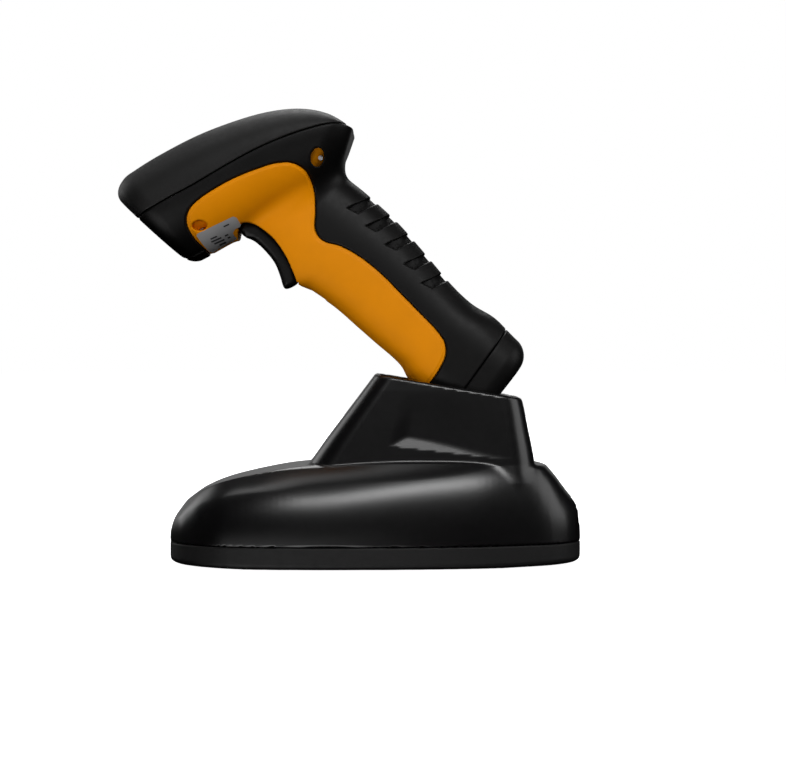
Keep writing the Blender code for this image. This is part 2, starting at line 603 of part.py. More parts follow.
# Shallow panel pressed into each side of the neck.
for side, name in ((-1, "left"), (1, "right")):
    panel = [(23.0, 77.0), (19.4, 65.0), (18.4, 59.0), (24.4, 56.4), (42.6, 54.2), (66.0, 52.2),
             (80.0, 60.0), (79.0, 72.0)]
    rings = [[Vector((x, side * y, z)) for x, z in panel] for y in (26.2, 40.0)]
    boolean(cradle_top, "DIFFERENCE", add("neck_panel_cutter_" + name, *loft_faces(rings)))

cradle_base = add("cradle_base", *loft_faces(base_rings(0.0, FOOT_HEIGHT, SEAM_Z - GAP / 2)), "base_plastic")
boolean(cradle_base, "DIFFERENCE",
        add("base_hollow", *loft_faces(base_rings(CRADLE_WALL, FOOT_HEIGHT + CRADLE_WALL, SEAM_Z + 5))))

# Sprung charging pins in the cup's rear wall.
for side, name, pad_at in ((-1, "left", pads[0]), (1, "right", pads[1])):
    tip = pad_at + END_OUT * 0.2
    boolean(cradle_top, "DIFFERENCE",
            rod("contact_pin_bore_" + name, tip - END_OUT * 1, tip + END_OUT * 20, 1.7, None, 10))
    turned("contact_pin_" + name, [(0, 0), (0.9, 0.35), (0.9, 10.0), (1.35, 10.4), (1.35, 12.0), (0, 12.0)],
           tip, END_OUT, "gold_contact", 10)
    coil("contact_spring_" + name, tip + END_OUT * 12.2, END_OUT, 1.0, 0.22, 4, 4.6, "steel", 8, 5)
block_at = (pads[0] + pads[1]) / 2 + END_OUT * 18.3
box("contact_block", block_at, (22, 7, 2.6), "component", frame_of(END_OUT), 0.3)

# Circuit board, connector, weight, feet and screws.
box("cradle_board", (70, 0, 17.6), (50, 34, 1.6), "board")
box("radio_module", (60, 0, 20.0), (18, 16, 2.6), "steel", None, 0.3)
port_cut = box("port_opening", (106, 0, 25.2), (16, 13.0, 12.2))
boolean(cradle_top, "DIFFERENCE", port_cut)
jack = box("cable_port", (95.6, 0, 25.0), (17, 12.2, 11.4), "component")
boolean(jack, "DIFFERENCE", box("port_bore", (98.4, 0, 24.8), (16, 9.6, 8.4)))
box("ballast_plate", (12, 0, 6.8), (94, 50, 3.6), "steel", None, 0.6)
for x, y, name in ((-56, -24, "front_left"), (-56, 24, "front_right"), (78, -17, "rear_left"), (78, 17, "rear_right")):
    pocket = rod("foot_pocket_" + name, (x, y, 0), (x, y, FOOT_HEIGHT + 1.0), 6.4, None, 16)
    boolean(cradle_base, "DIFFERENCE", pocket)
    turned("foot_" + name, [(0, 0), (5.2, 0), (5.9, 0.7), (5.9, FOOT_HEIGHT + 0.8), (0, FOOT_HEIGHT + 0.8)],
           (x, y, 0), (0, 0, 1), "rubber", 16)
for x, y, name in ((-44, -22, "front_left"), (-44, 22, "front_right"), (68, -21, "rear_left"), (68, 21, "rear_right")):
    hole = rod("base_screw_hole_" + name, (x, y, 0), (x, y, 7), 1.5, None, 10)
    recess = rod("base_screw_recess_" + name, (x, y, 0), (x, y, FOOT_HEIGHT + 1.2), 3.1, None, 10)
    boolean(cradle_base, "DIFFERENCE", hole, recess)
    turned("base_screw_" + name, [(0, 0), (1.6, 0), (2.6, 0.5), (2.6, 1.6), (1.2, 1.6), (1.2, 7.4), (0.4, 8.2),
                                  (0, 8.2)], (x, y, FOOT_HEIGHT - 0.5), (0, 0, 1), "steel", 10)
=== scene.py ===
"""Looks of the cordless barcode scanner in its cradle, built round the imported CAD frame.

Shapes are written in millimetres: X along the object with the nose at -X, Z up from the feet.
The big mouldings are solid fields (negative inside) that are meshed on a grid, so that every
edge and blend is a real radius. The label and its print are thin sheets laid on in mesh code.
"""

from math import cos, radians, sin

import bmesh
import bpy
import numpy as np
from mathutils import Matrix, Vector


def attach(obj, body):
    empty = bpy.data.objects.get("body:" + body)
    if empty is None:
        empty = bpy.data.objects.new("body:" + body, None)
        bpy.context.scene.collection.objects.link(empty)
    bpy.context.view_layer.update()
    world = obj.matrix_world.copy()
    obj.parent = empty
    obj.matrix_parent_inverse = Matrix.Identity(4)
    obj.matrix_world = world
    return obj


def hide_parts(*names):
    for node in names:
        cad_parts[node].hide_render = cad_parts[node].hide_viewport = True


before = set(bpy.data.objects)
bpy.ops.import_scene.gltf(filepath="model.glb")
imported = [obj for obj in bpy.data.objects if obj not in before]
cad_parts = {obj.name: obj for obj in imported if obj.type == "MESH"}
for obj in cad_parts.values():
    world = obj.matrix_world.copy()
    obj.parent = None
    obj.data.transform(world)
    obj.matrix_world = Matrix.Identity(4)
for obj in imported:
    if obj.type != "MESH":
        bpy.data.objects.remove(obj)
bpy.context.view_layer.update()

MM = 0.001

# ---------------------------------------------------------------- fields


def spline(points, steps=8, closed=False):
    """Catmull-Rom curve through the points."""
    p = np.array(points, float)
    count = len(p)
    if closed:
        index = np.arange(count)
        around = [p[(index + k) % count] for k in (-1, 0, 1, 2)]
    else:
        index = np.arange(count - 1)
        around = [p[np.clip(index + k, 0, count - 1)] for k in (-1, 0, 1, 2)]
    a, b, c, d = (q[:, None, :] for q in around)
    t = (np.arange(steps) / steps)[None, :, None]
    square, cube = 2 * a - 5 * b + 4 * c - d, 3 * b - a - 3 * c + d
    curve = 0.5 * (2 * b + (c - a) * t + square * t**2 + cube * t**3)
    curve = curve.reshape(-1, p.shape[1])
    return curve if closed else np.vstack([curve, p[-1:]])


class Line:
    """A curve of the side view read as height over distance along an axis."""

    def __init__(self, points, axis, up):
        curve = spline(points)
        along, across = curve @ axis, curve @ up
        order = np.argsort(along)
        self.along, self.across = along[order], across[order]

    def __call__(self, u):
        return np.interp(u, self.along, self.across)


class Tube:
    """A tube of superellipse sections between two lines of the side view, widest on a third."""

    def __init__(self, angle, low, high, middle, half, power_low, power_high):
        self.axis = np.array([cos(angle), sin(angle)])
        self.up = np.array([-sin(angle), cos(angle)])
        self.low, self.high, self.middle = (Line(p, self.axis, self.up) for p in (low, high, middle))
        widths = spline([(np.dot((x, z), self.axis), w) for x, z, w in half])
        self.at, self.half = widths[:, 0], widths[:, 1]
        self.powers = power_low, power_high

    def __call__(self, x, y, z):
        u = x * self.axis[0] + z * self.axis[1]
        v = x * self.up[0] + z * self.up[1]
        middle = self.middle(u)
        t = v - middle + 1e-4
        above = t > 0
        depth = np.maximum(np.where(above, self.high(u) - middle, middle - self.low(u)), 0.5)
        power = np.where(above, self.powers[1], self.powers[0])
        half = np.interp(u, self.at, self.half)
        q = ((np.abs(t) / depth) ** power + (np.abs(y) / half) ** power) ** (1 / power)
        reach = np.sqrt(t * t + y * y)
        return reach * (1 - 1 / np.maximum(q, 1e-5))


class Region:
    """Signed distance to a closed outline of the side view, negative inside, read from a fine grid."""

    def __init__(self, outline, step=0.3, margin=6.0):
        p = np.array(outline, float)
        self.low, self.step = p.min(0) - margin, step
        size = np.ceil((p.max(0) + margin - self.low) / step).astype(int) + 1
        gx, gz = np.meshgrid(*(self.low[i] + step * np.arange(size[i]) for i in (0, 1)), indexing="ij")
        best = np.full(gx.shape, 1e9)
        inside = np.zeros(gx.shape, bool)
        for (ax, az), (bx, bz) in zip(p, np.roll(p, -1, axis=0)):
            dx, dz = bx - ax, bz - az
            t = np.clip(((gx - ax) * dx + (gz - az) * dz) / max(dx * dx + dz * dz, 1e-12), 0, 1)
            best = np.minimum(best, (gx - ax - t * dx) ** 2 + (gz - az - t * dz) ** 2)
            if az != bz:
                inside ^= ((az > gz) != (bz > gz)) & (gx < dx * (gz - az) / dz + ax)
        self.grid = np.where(inside, -1, 1) * np.sqrt(best)
        self.size = size

    def __call__(self, x, z):
        fx, fz = (x - self.low[0]) / self.step, (z - self.low[1]) / self.step
        cx, cz = np.clip(fx, 0, self.size[0] - 1.001), np.clip(fz, 0, self.size[1] - 1.001)
        i, j = cx.astype(int), cz.astype(int)
        s, t = cx - i, cz - j
        g = self.grid
        near, far = g[i, j] * (1 - s) + g[i + 1, j] * s, g[i, j + 1] * (1 - s) + g[i + 1, j + 1] * s
        value = near * (1 - t) + far * t
        return value + self.step * np.hypot(fx - cx, fz - cz)


def both(a, b, r):
    """Inside both, with a rounded edge where they meet."""
    return np.minimum(-r, np.maximum(a, b)) + np.sqrt(np.maximum(r + a, 0) ** 2 + np.maximum(r + b, 0) ** 2)


def either(a, b, k):
    """Inside either, with a soft fillet of about k where they meet."""
    h = np.maximum(k - np.abs(a - b), 0) / k
    return np.minimum(a, b) - h * h * k * 0.25


def less(a, b, r):
    """Inside a but not b, with a rounded edge."""
    return both(a, -b, r)


def smooth(t):
    """A ramp from 0 to 1 with level ends."""
    t = np.clip(t, 0, 1)
    return t * t * (3 - 2 * t)


def plane(x, z, at, normal):
    """Distance in the side view to a straight line, positive on the side that its normal points to."""
    n = np.array(normal, float) / np.hypot(*normal)
    return (x - at[0]) * n[0] + (z - at[1]) * n[1]


# ---------------------------------------------------------------- meshing


def gradient(field, p, e=0.05):
    """Slope of the field at the points, by central differences."""
    out = np.empty_like(p)
    for k in range(3):
        d = np.zeros(3)
        d[k] = e
        out[:, k] = (field(*(p + d).T) - field(*(p - d).T)) / (2 * e)
    return out


def net(field, low, high, step):
    """Vertices, faces and normals of the field's zero surface on a grid, moved onto the surface.

    Only the blocks of the grid that may hold the surface are worked out. One vertex stands in each
    cell that the surface crosses, and each crossed grid edge gets a quad.
    """
    block, far, batch = 8, 99, 400
    low, high = np.array(low, float), np.array(high, float)
    blocks = np.ceil((high - low) / (step * block)).astype(int)
    size = blocks * block + 1
    values = np.empty(size, np.float32)
    centres = [low[i] + (np.arange(blocks[i]) + 0.5) * block * step for i in range(3)]
    cx, cy, cz = np.meshgrid(*centres, indexing="ij")
    coarse = field(cx.ravel(), cy.ravel(), cz.ravel()).reshape(blocks)
    # A block may hold the surface when its middle is nearer than its half diagonal, with slack for
    # fields that are steeper than a true distance.
    half_diagonal, slack = 0.87, 1.7
    near = np.abs(coarse) < block * step * half_diagonal * slack + step
    full = np.repeat(np.repeat(np.repeat(np.sign(coarse) * far, block, 0), block, 1), block, 2)
    values[:] = far
    values[:-1, :-1, :-1] = full
    picked = np.argwhere(near)
    offset = np.stack(np.meshgrid(*[np.arange(block + 1)] * 3, indexing="ij"), -1).reshape(-1, 3)
    for start in range(0, len(picked), batch):
        index = (picked[start:start + batch, None, :] * block + offset[None]).reshape(-1, 3)
        p = low + index * step
        values[tuple(index.T)] = field(*p.T)
    inside = values < 0
    corner = [(i, j, k) for i in (0, 1) for j in (0, 1) for k in (0, 1)]
    total = np.zeros(size - 1, np.int8)
    for i, j, k in corner:
        total += inside[i:size[0] - 1 + i, j:size[1] - 1 + j, k:size[2] - 1 + k]
    mixed = (total > 0) & (total < 8)
    cells = np.argwhere(mixed)
    number = np.full(size - 1, -1, np.int64)
    number[mixed] = np.arange(len(cells))
    value = np.stack([values[tuple((cells + c).T)] for c in corner], 1)
    points, hits = np.zeros((len(cells), 3)), np.zeros(len(cells))
    for a in range(8):
        for b in range(a + 1, 8):
            ca, cb = np.array(corner[a]), np.array(corner[b])
            if np.abs(ca - cb).sum() != 1:
                continue
            cross = (value[:, a] < 0) != (value[:, b] < 0)
            t = value[:, a] / np.where(cross, value[:, a] - value[:, b], 1)
            points += np.where(cross[:, None], ca + t[:, None] * (cb - ca), 0)
            hits += cross
    points = low + (cells + points / hits[:, None]) * step
    for _ in range(3):
        g = gradient(field, points)
        move = field(*points.T)[:, None] * g / np.maximum((g * g).sum(1, keepdims=True), 0.05)
        points -= np.clip(move, -0.5 * step, 0.5 * step)
    normals = gradient(field, points, 0.12)
    normals /= np.maximum(np.linalg.norm(normals, axis=1, keepdims=True), 1e-9)
    faces = []
    for axis in range(3):
        a, b = [k for k in range(3) if k != axis]
        first = [slice(None)] * 3
        second = [slice(None)] * 3
        first[axis], second[axis] = slice(None, -1), slice(1, None)
        change = inside[tuple(first)] != inside[tuple(second)]
        edge = np.argwhere(change)
        beside = edge[:, [a, b]]
        edge = edge[(beside > 0).all(1) & (beside < size[[a, b]] - 1).all(1)]
        around = []
        for da, db in ((1, 1), (0, 1), (0, 0), (1, 0)):
            cell = edge.copy()
            cell[:, a] -= da
            cell[:, b] -= db
            around.append(number[tuple(cell.T)])
        quad = np.stack(around, 1)
        flip = inside[tuple(edge.T)] ^ (axis == 1)
        quad = np.where(flip[:, None], quad, quad[:, ::-1])
        faces.append(quad)
    return points, np.vstack(faces), normals


def mesh_object(name, points, faces, normals=None):
    """A smooth-shaded object of the points, given in millimetres, and the faces."""
    mesh = bpy.data.meshes.new(name)
    points = np.asarray(points, float) * MM
    faces = np.asarray(faces)
    mesh.vertices.add(len(points))
    mesh.vertices.foreach_set("co", points.ravel())
    mesh.loops.add(faces.size)
    mesh.loops.foreach_set("vertex_index", faces.ravel())
    mesh.polygons.add(len(faces))
    mesh.polygons.foreach_set("loop_start", np.arange(0, faces.size, faces.shape[1]))
    mesh.update(calc_edges=True)
    mesh.polygons.foreach_set("use_smooth", np.ones(len(faces), bool))
    if normals is not None:
        mesh.normals_split_custom_set_from_vertices(normals)
    obj = bpy.data.objects.new(name, mesh)
    bpy.context.scene.collection.objects.link(obj)
    return obj


def moulded(name, field, low, high, step, node, body, finish):
    """A moulding from its field, standing for a CAD node."""
    obj = mesh_object(name, *net(field, low, high, step))
    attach(obj, body)
    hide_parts(node)
    obj.data.materials.append(FINISH[finish].material)


# ---------------------------------------------------------------- dimensions of the scanner

WALL = 2.4
HALF_GAP = 0.16
# How far the yellow housing lies below the black body, and where its hidden flange starts and ends.
HOUSING_SINK = 0.20
FLANGE_TOP, FLANGE_UNDER = 5.2, 6.6
HEAD_ANGLE = radians(26)
HANDLE_ANGLE = radians(-46.5)

HEAD_TOP = [(-150, 156.0), (-122, 174.4), (-104, 186.2), (-91.2, 194.2), (-72, 204.1), (-52.8, 211.3),
            (-38, 215.2), (-25, 216.5), (-14.4, 215.2), (-6, 211.8), (0, 207.4), (6, 201.6), (16, 190.5)]
HEAD_BOTTOM = [(-110, 127), (-86, 138.4), (-74, 143.6), (-66.2, 147.6), (-57.6, 152.4), (-50, 156.4),
               (-38, 163.0), (-25, 169.4), (-12, 175.0), (6, 181), (30, 187)]
HEAD_WIDEST = [(-150, 140), (-122, 150.5), (-97, 163.6), (-72.4, 177.4), (-57, 186.0), (-41.7, 194.0),
               (-26.3, 200.0), (-8, 204.6), (30, 209)]
HEAD_HALF = [(-130, 146, 30.0), (-110, 156, 31.4), (-95, 164, 32.6), (-80, 172, 33.6), (-60, 184, 34.4),
             (-40, 194, 34.7), (-20, 202, 34.6), (0, 206, 34.2), (30, 209, 33.5)]
NOSE_AT, NOSE_NORMAL = (-94.9, 160.1), (-0.68, -0.733)
REAR_AT, REAR_NORMAL = (1.3, 204.0), (0.952, -0.306)

HANDLE_FRONT = [(-90, 190), (-70, 171), (-60, 161.5), (-51, 154.8), (-40.5, 144.0), (-30.6, 132.4),
                (-19.5, 130.0), (-8, 122.8), (4, 112.4), (12.2, 105.2), (20.0, 98.6), (24.6, 93.8),
                (28.0, 87.6), (34.0, 80.6), (45.5, 70.4), (64, 53)]
HANDLE_BACK = [(-26, 206), (-12, 193.0), (-4.0, 186.2), (1.2, 182.0), (7.0, 177.4), (13.2, 171.9),
               (23.8, 161.9), (36.1, 147.9), (48.4, 133.4), (58.4, 124.0), (69.1, 117.4), (78.0, 108.6),
               (98, 89)]
HANDLE_HALF = [(-60, 190, 17.6), (-30, 175, 18.2), (-15, 160, 19.2), (0, 150, 19.8), (15, 135, 20.2),
               (30, 120, 20.6), (45, 105, 21.4), (60, 90, 22.2), (80, 70, 22.4)]
END_AT, END_NORMAL = (72.0, 81.8), (0.79, -0.613)
# The charging pads in the end of the handle: their middle, and how far each lies to its side.
PAD_AT, PAD_SIDE = (63.6, 71.8), 7.0

SEAM = [(-135, 118), (-106, 152.0), (-100.4, 160.2), (-98.4, 163.4), (-95.4, 166.0), (-91.0, 168.5),
        (-82.9, 173.1), (-72.4, 178.6), (-57, 187.6), (-41.7, 195.8), (-26.3, 202.2), (-12, 206.5),
        (-4, 207.4), (2, 206.4), (16, 203.0)]
INLAY = [(-64.3, 143.0), (-67.4, 148.6), (-72.7, 154.5), (-75.6, 161.5), (-73.4, 168.4), (-66.0, 174.6),
         (-54.5, 181.2), (-43.0, 186.0), (-33.0, 189.0), (-25.5, 188.9), (-19.6, 185.2), (-16.6, 178.0),
         (-15.9, 168.0), (-16.0, 158.6), (-12.0, 153.4), (-4.0, 151.0), (5.0, 146.0), (14.8, 138.2),
         (24.0, 129.0), (33.4, 119.4), (41.6, 110.8), (45.2, 104.4), (44.2, 96.5), (36.0, 84.0),
         (26.0, 76.0), (-6.0, 104.0), (-40.0, 130.0)]
TRIGGER = [(-52.6, 159.4), (-50.6, 156.4), (-45.6, 153.9), (-40.8, 149.6), (-36.2, 143.8),
           (-33.6, 137.6), (-31.8, 132.0), (-29.4, 131.4), (-25.2, 133.8), (-27.6, 141.2),
           (-30.9, 147.9), (-35.6, 154.4), (-41.4, 159.3), (-46.4, 161.9), (-50.6, 161.9)]
TRIGGER_BACK = [(-29.4, 131.4), (-25.3, 133.7), (-24.9, 136.5), (-25.8, 141.9), (-29.4, 149.0),
                (-34.4, 155.8), (-40.8, 161.0), (-46.4, 163.6), (-50.6, 163.4)]
TRIGGER_HALF = 13.0
# Pockets in the blade's back that clear the switch and the return spring as it swings, each by its
# lowest and its highest corner.
TRIGGER_POCKETS = [((-33.4, -4.4, 144.0), (-15.0, 4.4, 158.0)), ((-30.6, 5.4, 139.0), (-15.0, 11.9, 152.5))]
PIVOT = (-46.0, 165.0)
SWEEP = [(-52.9, 150), (-34, 122), (-25.6, 131.4), (-24.7, 133.4), (-21.0, 135.4), (-19.6, 139.6),
         (-22.6, 147.6), (-28.6, 155.8), (-36.0, 165.2), (-42.0, 170.6), (-48.0, 170.8), (-52.9, 166.0)]
CHIN = [(-24.3, 133.0), (-18.0, 130.4), (-12.0, 126.0), (-9.0, 112.0), (-60.0, 112.0), (-60.0, 134.0),
        (-32.0, 137.0)]
CAP_SEAM = [(44.8, 70.8), (75.0, 112.4)]
SLOTS = [(-1.6, 168.9), (7.3, 160.4), (16.4, 151.7), (25.2, 142.5), (33.6, 133.5)]

head_tube = Tube(HEAD_ANGLE, HEAD_BOTTOM, HEAD_TOP, HEAD_WIDEST, HEAD_HALF, 1.95, 2.7)
handle_tube = Tube(HANDLE_ANGLE, HANDLE_FRONT, HANDLE_BACK,
                   [((a + c) / 2, (b + d) / 2) for (a, b), (c, d) in
                    zip(((-90, 190), (-40.5, 144.0), (-8, 122.4), (27.5, 91.4), (64, 53)),
                        ((-26, 206), (0.4, 180.8), (36.0, 147.6), (69.0, 117.4), (98, 89)))],
                   HANDLE_HALF, 3.1, 3.1)


def envelope(x, y, z):
    """The outer form of the whole scanner, head and handle blended together."""
    head = both(head_tube(x, y, z), plane(x, z, NOSE_AT, NOSE_NORMAL), np.interp(z, (148, 182), (5.5, 12.5)))
    head = both(head, plane(x, z, REAR_AT, REAR_NORMAL), 13)
    handle = both(handle_tube(x, y, z), plane(x, z, END_AT, END_NORMAL), 8.5)
    handle = both(handle, plane(x, z, (-24, 182), (-0.688, 0.725)), 8)
    return either(head, handle, 9)


above_seam = Region(list(spline(SEAM)) + [(16, 250), (-135, 250)])
inlay = Region(spline(INLAY, 6, True))
run = np.array(CAP_SEAM[1]) - np.array(CAP_SEAM[0])
cap_normal = (run[1], -run[0])
trigger_area = Region(spline(TRIGGER, 5, True))
trigger_tucked = Region(spline(TRIGGER[:7] + TRIGGER_BACK, 5, True))
sweep = Region(SWEEP)
chin = Region(CHIN)
bezel_line = Region([(-90, 142.4), (-77.6, 146.2), (-73.6, 147.4), (-69.6, 149.6), (-60, 156), (-59.7, 155.6),
                     (-69.4, 149.3), (-73.5, 147.1), (-77.5, 145.9), (-90, 142.1)], 0.2, 3)


def slot_outline(corner):
    """A slot's four corners, from the one nearest the trigger, rounded."""
    turn = radians(27)
    across, down = np.array([cos(turn), sin(turn)]), np.array([0.71, -0.70])
    c = np.array(corner)
    return [c, c + across * 13.2, c + across * 15.6 + down * 4.6, c + across * 2.2 + down * 5.4]


slots = [Region(slot_outline(c), 0.25, 3) for c in SLOTS]


def slot_cut(x, y, z, form):
    """The five grip slots, deepest at their upper edge and shallow where they run over the back."""
    cut = None
    for (at_x, at_z), slot in zip(SLOTS, slots):
        down = np.clip(((x - at_x) * 0.71 - (z - at_z) * 0.70) / 4.8, 0, 1)
        depth = (3.0 + 1.1 * down) * np.interp(np.abs(y), (3, 12), (0.25, 1.0))
        one = np.maximum(slot(x, z) + 0.2, -form - depth)
        cut = one if cut is None else np.minimum(cut, one)
    return cut


def hole(x, z, at, rx, rz, tilt=0.0):
    """An oval in the side view that runs right across the object."""
    c, s = cos(tilt), sin(tilt)
    dx, dz = x - at[0], z - at[1]
    u, v = c * dx + s * dz, -s * dx + c * dz
    return (np.hypot(u / rx, v / rz) - 1) * min(rx, rz)


LANYARD = (-14.6, 191.8)
LANYARD_TILT = radians(-8)
SCREW_AT = (-69.8, 160.2)
WINDOW_AT = np.array([-94.2, 161.5])
WINDOW_HALF = (9.8, 21.3)
WINDOW_CORNER = 3


def rounded_box(u, v, half_u, half_v, corner):
    """Distance to a flat rectangle with rounded corners."""
    du, dv = np.abs(u) - half_u + corner, np.abs(v) - half_v + corner
    return np.hypot(np.maximum(du, 0), np.maximum(dv, 0)) + np.minimum(np.maximum(du, dv), 0) - corner


def window_cut(x, y, z):
    """The rounded window opening in the nose."""
    n = np.array([-0.690, -0.724])
    along = (x - WINDOW_AT[0]) * -n[1] + (z - WINDOW_AT[1]) * n[0]
    depth = (x - WINDOW_AT[0]) * n[0] + (z - WINDOW_AT[1]) * n[1]
    return np.maximum(rounded_box(along, y, *WINDOW_HALF, WINDOW_CORNER), np.abs(depth + 4) - 10)


def trigger_room(x, y, z, clearance):
    """The room in the housing that the trigger swings in."""
    return np.maximum(sweep(x, z), np.abs(y) - TRIGGER_HALF - clearance)


def skin(form, area, rounding, wall=WALL):
    """A wall of the envelope inside an area of the side view."""
    return np.maximum(both(form, area, rounding), -(form + wall))


def top_cover_field(x, y, z):
    """The cover of the head, down to its seam."""
    form = envelope(x, y, z)
    # The cover is thicker towards its low rear edge, where the form closes quickly.
    field = skin(form, above_seam(x, z) + HALF_GAP, 0.7, WALL + 8 * smooth((x + 26) / 14))
    field = less(field, window_cut(x, y, z), 0.4)
    return less(field, np.hypot(x + 20.5, y) - 2.0, 0.2)


def body_field(x, y, z):
    """The black body: nose, rear of the head and back of the handle."""
    form = envelope(x, y, z)
    area = np.maximum(-above_seam(x, z), -inlay(x, z))
    area = np.maximum(area, plane(x, z, CAP_SEAM[0], cap_normal)) + HALF_GAP
    field = np.maximum(both(form, area, 0.7), -(form + 4.9))
    field = less(field, slot_cut(x, y, z, form), 0.45)
    field = less(field, hole(x, z, LANYARD, 3.1, 4.3, LANYARD_TILT), 0.5)
    field = less(field, window_cut(x, y, z), 0.4)
    groove = np.hypot(bezel_line(x, z) - 0.1, form)
    field = less(field, groove - 0.42, 0.25)
    return less(field, trigger_room(x, y, z, 0.7), 0.3)


def front_field(x, y, z):
    """The yellow housing: a flange backs its joint, a liner the strap hole and a floor the screw recess."""
    form = envelope(x, y, z)
    edge = inlay(x, z)
    lowered = form + HOUSING_SINK + 0.42 * smooth((edge + 1.9) / 0.9)
    field = skin(lowered, edge + HALF_GAP, 0.4)
    field = less(field, trigger_area(x, z) - 0.05, 0.4)
    field = less(field, trigger_room(x, y, z, 0.6), 0.3)
    field = less(field, chin(x, z), 1.0)
    field = less(field, hole(x, z, LANYARD, 3.1, 4.3, LANYARD_TILT), 0.4)
    bore = hole(x, z, SCREW_AT, 3.4, 2.35, radians(6))
    field = np.minimum(field, np.maximum(np.maximum(bore - 1.3, form + 1.5), -(form + 5.2)))
    liner = np.maximum(np.maximum(hole(x, z, LANYARD, 7.5, 7.5), form + FLANGE_TOP), -(form + 7.0))
    sheet = np.maximum(form + FLANGE_TOP, -(form + FLANGE_UNDER))
    flange = np.maximum(np.maximum(edge - 2.0, -(edge + 2.4)), sheet)
    upright = np.maximum(form + 1.4, -(form + FLANGE_UNDER))
    web = np.maximum(np.maximum(edge + HALF_GAP, -(edge + 2.4)), upright)
    flange = np.maximum(np.minimum(flange, web), 0.6 - trigger_area(x, z))
    flange = np.maximum(np.maximum(flange, 0.4 - chin(x, z)),
                        -trigger_room(x, y, z, 0.6))
    field = np.minimum(np.minimum(field, liner), flange)
    return less(field, np.maximum(bore, -(form + 3.6)), 0.5)


def cap_field(x, y, z):
    """The foot of the handle, with two round openings for the charging pads."""
    form = envelope(x, y, z)
    field = skin(form, HALF_GAP - plane(x, z, CAP_SEAM[0], cap_normal), 0.6)
    n = np.array(END_NORMAL) / np.hypot(*END_NORMAL)
    along = (x - PAD_AT[0]) * -n[1] + (z - PAD_AT[1]) * n[0]
    for side in (-1, 1):
        pad = np.hypot(along, y - side * PAD_SIDE) - 2.9
        field = less(field, pad, 0.3)
    return field


def trigger_field(x, y, z):
    """The trigger: a ridged blade on an arm that turns on the pin."""
    ridge = 0.5 * np.exp(-((np.abs(y) / 4.0) ** 2))
    blade = both(trigger_tucked(x, z) - ridge + 0.5, np.abs(y) - TRIGGER_HALF, 2.6)
    arm = both(np.hypot(x - PIVOT[0], z - PIVOT[1]) - 3.2, np.abs(y) - 12.4, 0.4)
    stem = np.maximum(np.maximum(np.abs(x + 46.2) - 3.0, np.abs(z - 160.5) - 4.5), np.abs(y) - 12.4)
    field = either(np.minimum(arm, stem), blade, 1.0)
    for low, high in TRIGGER_POCKETS:
        gaps = [np.abs(v - (a + b) / 2) - (b - a) / 2 for v, a, b in zip((x, y, z), low, high)]
        field = less(field, np.maximum(np.maximum(gaps[0], gaps[1]), gaps[2]), 0.3)
    return less(field, np.hypot(x - PIVOT[0], z - PIVOT[1]) - 1.5, 0.1)


LABEL = [(-71.4, 155.5), (-70.7, 156.5), (-54.2, 164.5), (-52.7, 164.0), (-51.0, 161.0), (-51.7, 159.9),
         (-53.8, 159.0), (-55.0, 157.4), (-54.6, 156.0), (-53.6, 155.0), (-58.0, 152.7), (-62.0, 150.5),
         (-65.6, 148.4), (-66.8, 148.6)]
label_area = Region(LABEL, 0.2, 3)
# Where the label's points start on their way to the surface, measured from the middle plane.
PATCH_START = 27.0


def onto(points, offset):
    """The points moved straight out or in until they lie that far outside the yellow housing's surface."""
    points = np.array(points, float)

    def field(x, y, z):
        return envelope(x, y, z) + HOUSING_SINK + 0.02 - offset

    for _ in range(12):
        value = field(*points.T)
        slope = (field(*(points + (0, 0.02, 0)).T) - value) / 0.02
        points[:, 1] -= np.clip(value / np.where(np.abs(slope) < 0.1, -0.1, slope), -2, 2)
    return points


def patch(name, area, low, high, step, offsets, body, finish, node=None):
    """A thin sheet over the near side of the housing, inside an area of the side view."""
    nx, nz = (int(np.ceil((high[k] - low[k]) / step)) + 1 for k in (0, 1))
    gx, gz = np.meshgrid(low[0] + step * np.arange(nx), low[1] + step * np.arange(nz), indexing="ij")
    value = area(gx, gz)
    keep = value < step * 0.55
    cell = keep[:-1, :-1] & keep[1:, :-1] & keep[1:, 1:] & keep[:-1, 1:]
    number = np.full(gx.shape, -1)
    used = np.zeros(gx.shape, bool)
    for i, j in ((0, 0), (1, 0), (1, 1), (0, 1)):
        used[i:nx - 1 + i, j:nz - 1 + j] |= cell
    number[used] = np.arange(used.sum())
    flat = np.stack([gx[used], gz[used]], 1)
    corners = number[:-1, :-1], number[1:, :-1], number[1:, 1:], number[:-1, 1:]
    faces = np.stack([c[cell] for c in corners], 1)
    edges = np.sort(np.concatenate([faces[:, [k, (k + 1) % 4]] for k in range(4)]), 1)
    pairs, count = np.unique(edges, axis=0, return_counts=True)
    border = np.unique(pairs[count == 1])
    for _ in range(4):
        here = flat[border]
        d = area(*here.T)
        g = np.stack([area(*(here + (0.1, 0)).T) - area(*(here - (0.1, 0)).T),
                      area(*(here + (0, 0.1)).T) - area(*(here - (0, 0.1)).T)], 1) / 0.2
        flat[border] = here - d[:, None] * g / np.maximum((g * g).sum(1, keepdims=True), 0.2)
    start = np.stack([flat[:, 0], np.full(len(flat), -PATCH_START), flat[:, 1]], 1)
    outer, inner = onto(start, offsets[1]), onto(start, offsets[0])
    count = len(flat)
    walls = []
    directed = {(int(a), int(b)) for f in faces for a, b in zip(f, np.roll(f, -1))}
    for a, b in directed:
        if (b, a) not in directed:
            walls.append((b, a, a + count, b + count))
    quads = np.vstack([faces, faces[:, ::-1] + count, np.array(sorted(walls))])
    obj = mesh_object(name, np.vstack([outer, inner]), quads)
    obj.data.shade_flat()
    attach(obj, body)
    if node:
        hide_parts(node)
    obj.data.materials.append(FINISH[finish].material)


